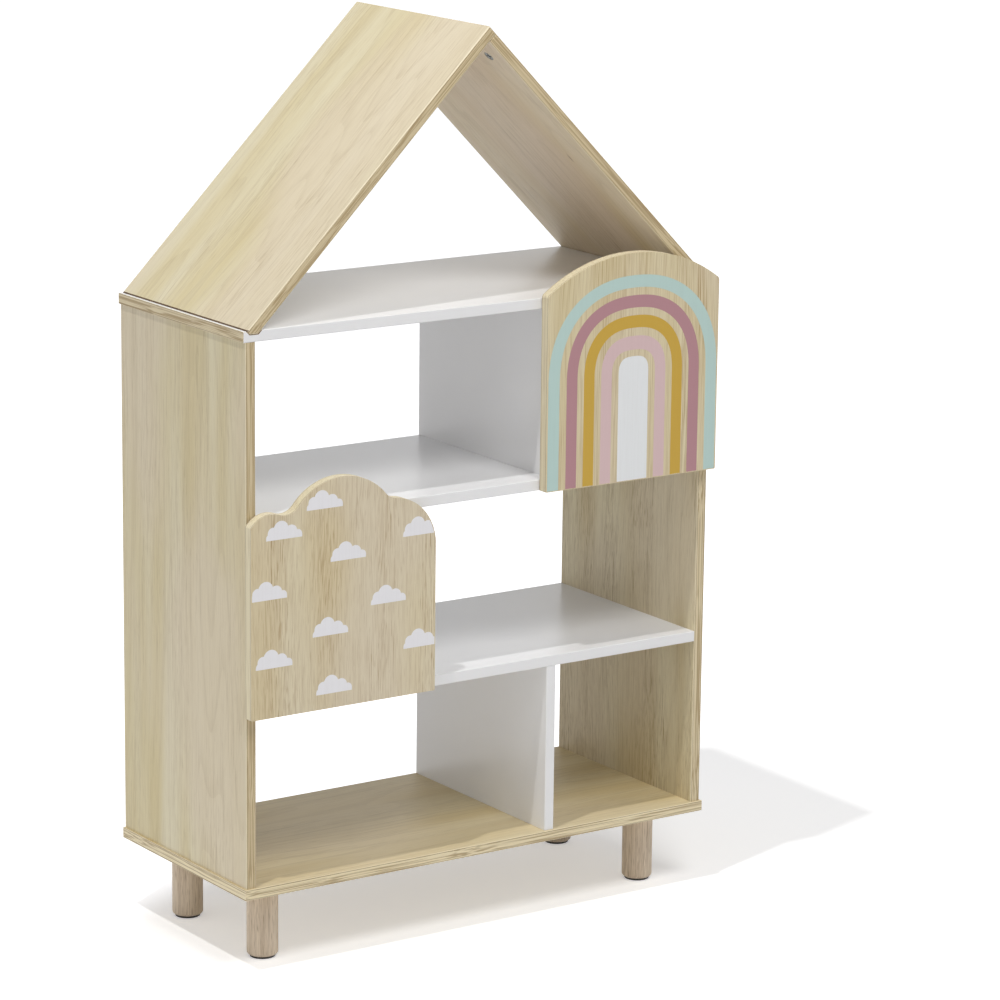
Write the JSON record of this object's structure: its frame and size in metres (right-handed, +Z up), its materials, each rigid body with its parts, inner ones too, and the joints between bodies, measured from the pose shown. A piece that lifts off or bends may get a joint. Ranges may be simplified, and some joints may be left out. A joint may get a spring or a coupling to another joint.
{
  "type": "kids cloud bookcase",
  "caption": "House-shaped open children's bookcase on round legs, with a pitched roof, a cloud-shaped door and an arched rainbow door on concealed hinges.",
  "frame": {"origin": "on the floor, in the middle of the bookcase's width and of its whole depth from the doors' fronts to the base's rear edge", "axes": "+X to the right seen from the front, +Y to the back, +Z up"},
  "size_m": [0.756, 0.3434, 1.2455],
  "materials": {
    "wood_laminate": "matt oak-look laminate on board",
    "white_laminate": "matt white laminate on board",
    "solid_wood": "matt lacquered solid wood",
    "black_plastic": "matt black plastic",
    "zinc_alloy": "plated zinc alloy",
    "plated_steel": "nickel-plated steel",
    "clear_rubber": "translucent soft rubber"
  },
  "bodies": {
    "carcass": {"base_panel": "wood_laminate", "side_panel_left": "wood_laminate", "side_panel_right": "wood_laminate", "roof_panel_left": "wood_laminate", "roof_panel_right": "wood_laminate", "lower_shelf": "white_laminate", "upper_shelf": "white_laminate", "top_shelf": "white_laminate", "lower_divider": "white_laminate", "middle_divider": "white_laminate", "upper_divider": "white_laminate", "leg_front_left": "solid_wood", "leg_rear_left": "solid_wood", "leg_front_right": "solid_wood", "leg_rear_right": "solid_wood", "glide_front_left": "black_plastic", "glide_rear_left": "black_plastic", "glide_front_right": "black_plastic", "glide_rear_right": "black_plastic", "hanger_bolt_front_left": "plated_steel", "hanger_bolt_rear_left": "plated_steel", "hanger_bolt_front_right": "plated_steel", "hanger_bolt_rear_right": "plated_steel", "base_screw_front_left": "plated_steel", "base_screw_rear_left": "plated_steel", "base_screw_front_right": "plated_steel", "base_screw_rear_right": "plated_steel", "roof_dowel_front_left": "solid_wood", "roof_dowel_rear_left": "solid_wood", "roof_dowel_front_right": "solid_wood", "roof_dowel_rear_right": "solid_wood", "lower_shelf_cam_front_left": "zinc_alloy", "lower_shelf_cam_rear_left": "zinc_alloy", "lower_shelf_cam_front_right": "zinc_alloy", "lower_shelf_cam_rear_right": "zinc_alloy", "upper_shelf_cam_front_left": "zinc_alloy", "upper_shelf_cam_rear_left": "zinc_alloy", "upper_shelf_cam_front_right": "zinc_alloy", "upper_shelf_cam_rear_right": "zinc_alloy", "ridge_cam_front": "zinc_alloy", "ridge_cam_rear": "zinc_alloy", "ridge_bolt_front": "plated_steel", "ridge_bolt_rear": "plated_steel", "hinge_arm_cloud_lower": "plated_steel", "hinge_arm_cloud_upper": "plated_steel", "hinge_arm_rainbow_lower": "plated_steel", "hinge_arm_rainbow_upper": "plated_steel"},
    "cloud_link": {"hinge_link_cloud_lower": "plated_steel", "hinge_link_cloud_upper": "plated_steel"},
    "cloud_door_leaf": {"cloud_door": "wood_laminate", "cloud_door_bumper": "clear_rubber", "hinge_cup_cloud_lower": "zinc_alloy", "hinge_cup_cloud_upper": "zinc_alloy"},
    "rainbow_link": {"hinge_link_rainbow_lower": "plated_steel", "hinge_link_rainbow_upper": "plated_steel"},
    "rainbow_door_leaf": {"rainbow_door": "wood_laminate", "rainbow_door_bumper": "clear_rubber", "hinge_cup_rainbow_lower": "zinc_alloy", "hinge_cup_rainbow_upper": "zinc_alloy"}
  },
  "joints": [
    {"name": "cloud_link_turn", "type": "hinge", "parent": "carcass", "child": "cloud_link", "pos_m": [-0.353, -0.15625, 0.49], "axis": [0, 0, 1], "range_deg": [0, 34.2]},
    {"name": "cloud_door_turn", "type": "hinge", "parent": "cloud_link", "child": "cloud_door_leaf", "pos_m": [-0.369, -0.16225, 0.49], "axis": [0, 0, -1], "range_deg": [0, 129.2]},
    {"name": "rainbow_link_turn", "type": "hinge", "parent": "carcass", "child": "rainbow_link", "pos_m": [0.353, -0.15625, 0.741], "axis": [0, 0, -1], "range_deg": [0, 34.2]},
    {"name": "rainbow_door_turn", "type": "hinge", "parent": "rainbow_link", "child": "rainbow_door_leaf", "pos_m": [0.369, -0.16225, 0.741], "axis": [0, 0, 1], "range_deg": [0, 129.2]}
  ],
  "couplings": [
    {"joint": "cloud_link_turn", "follows": "cloud_door_turn", "ratio": 0.2647},
    {"joint": "rainbow_link_turn", "follows": "rainbow_door_turn", "ratio": 0.2647}
  ]
}
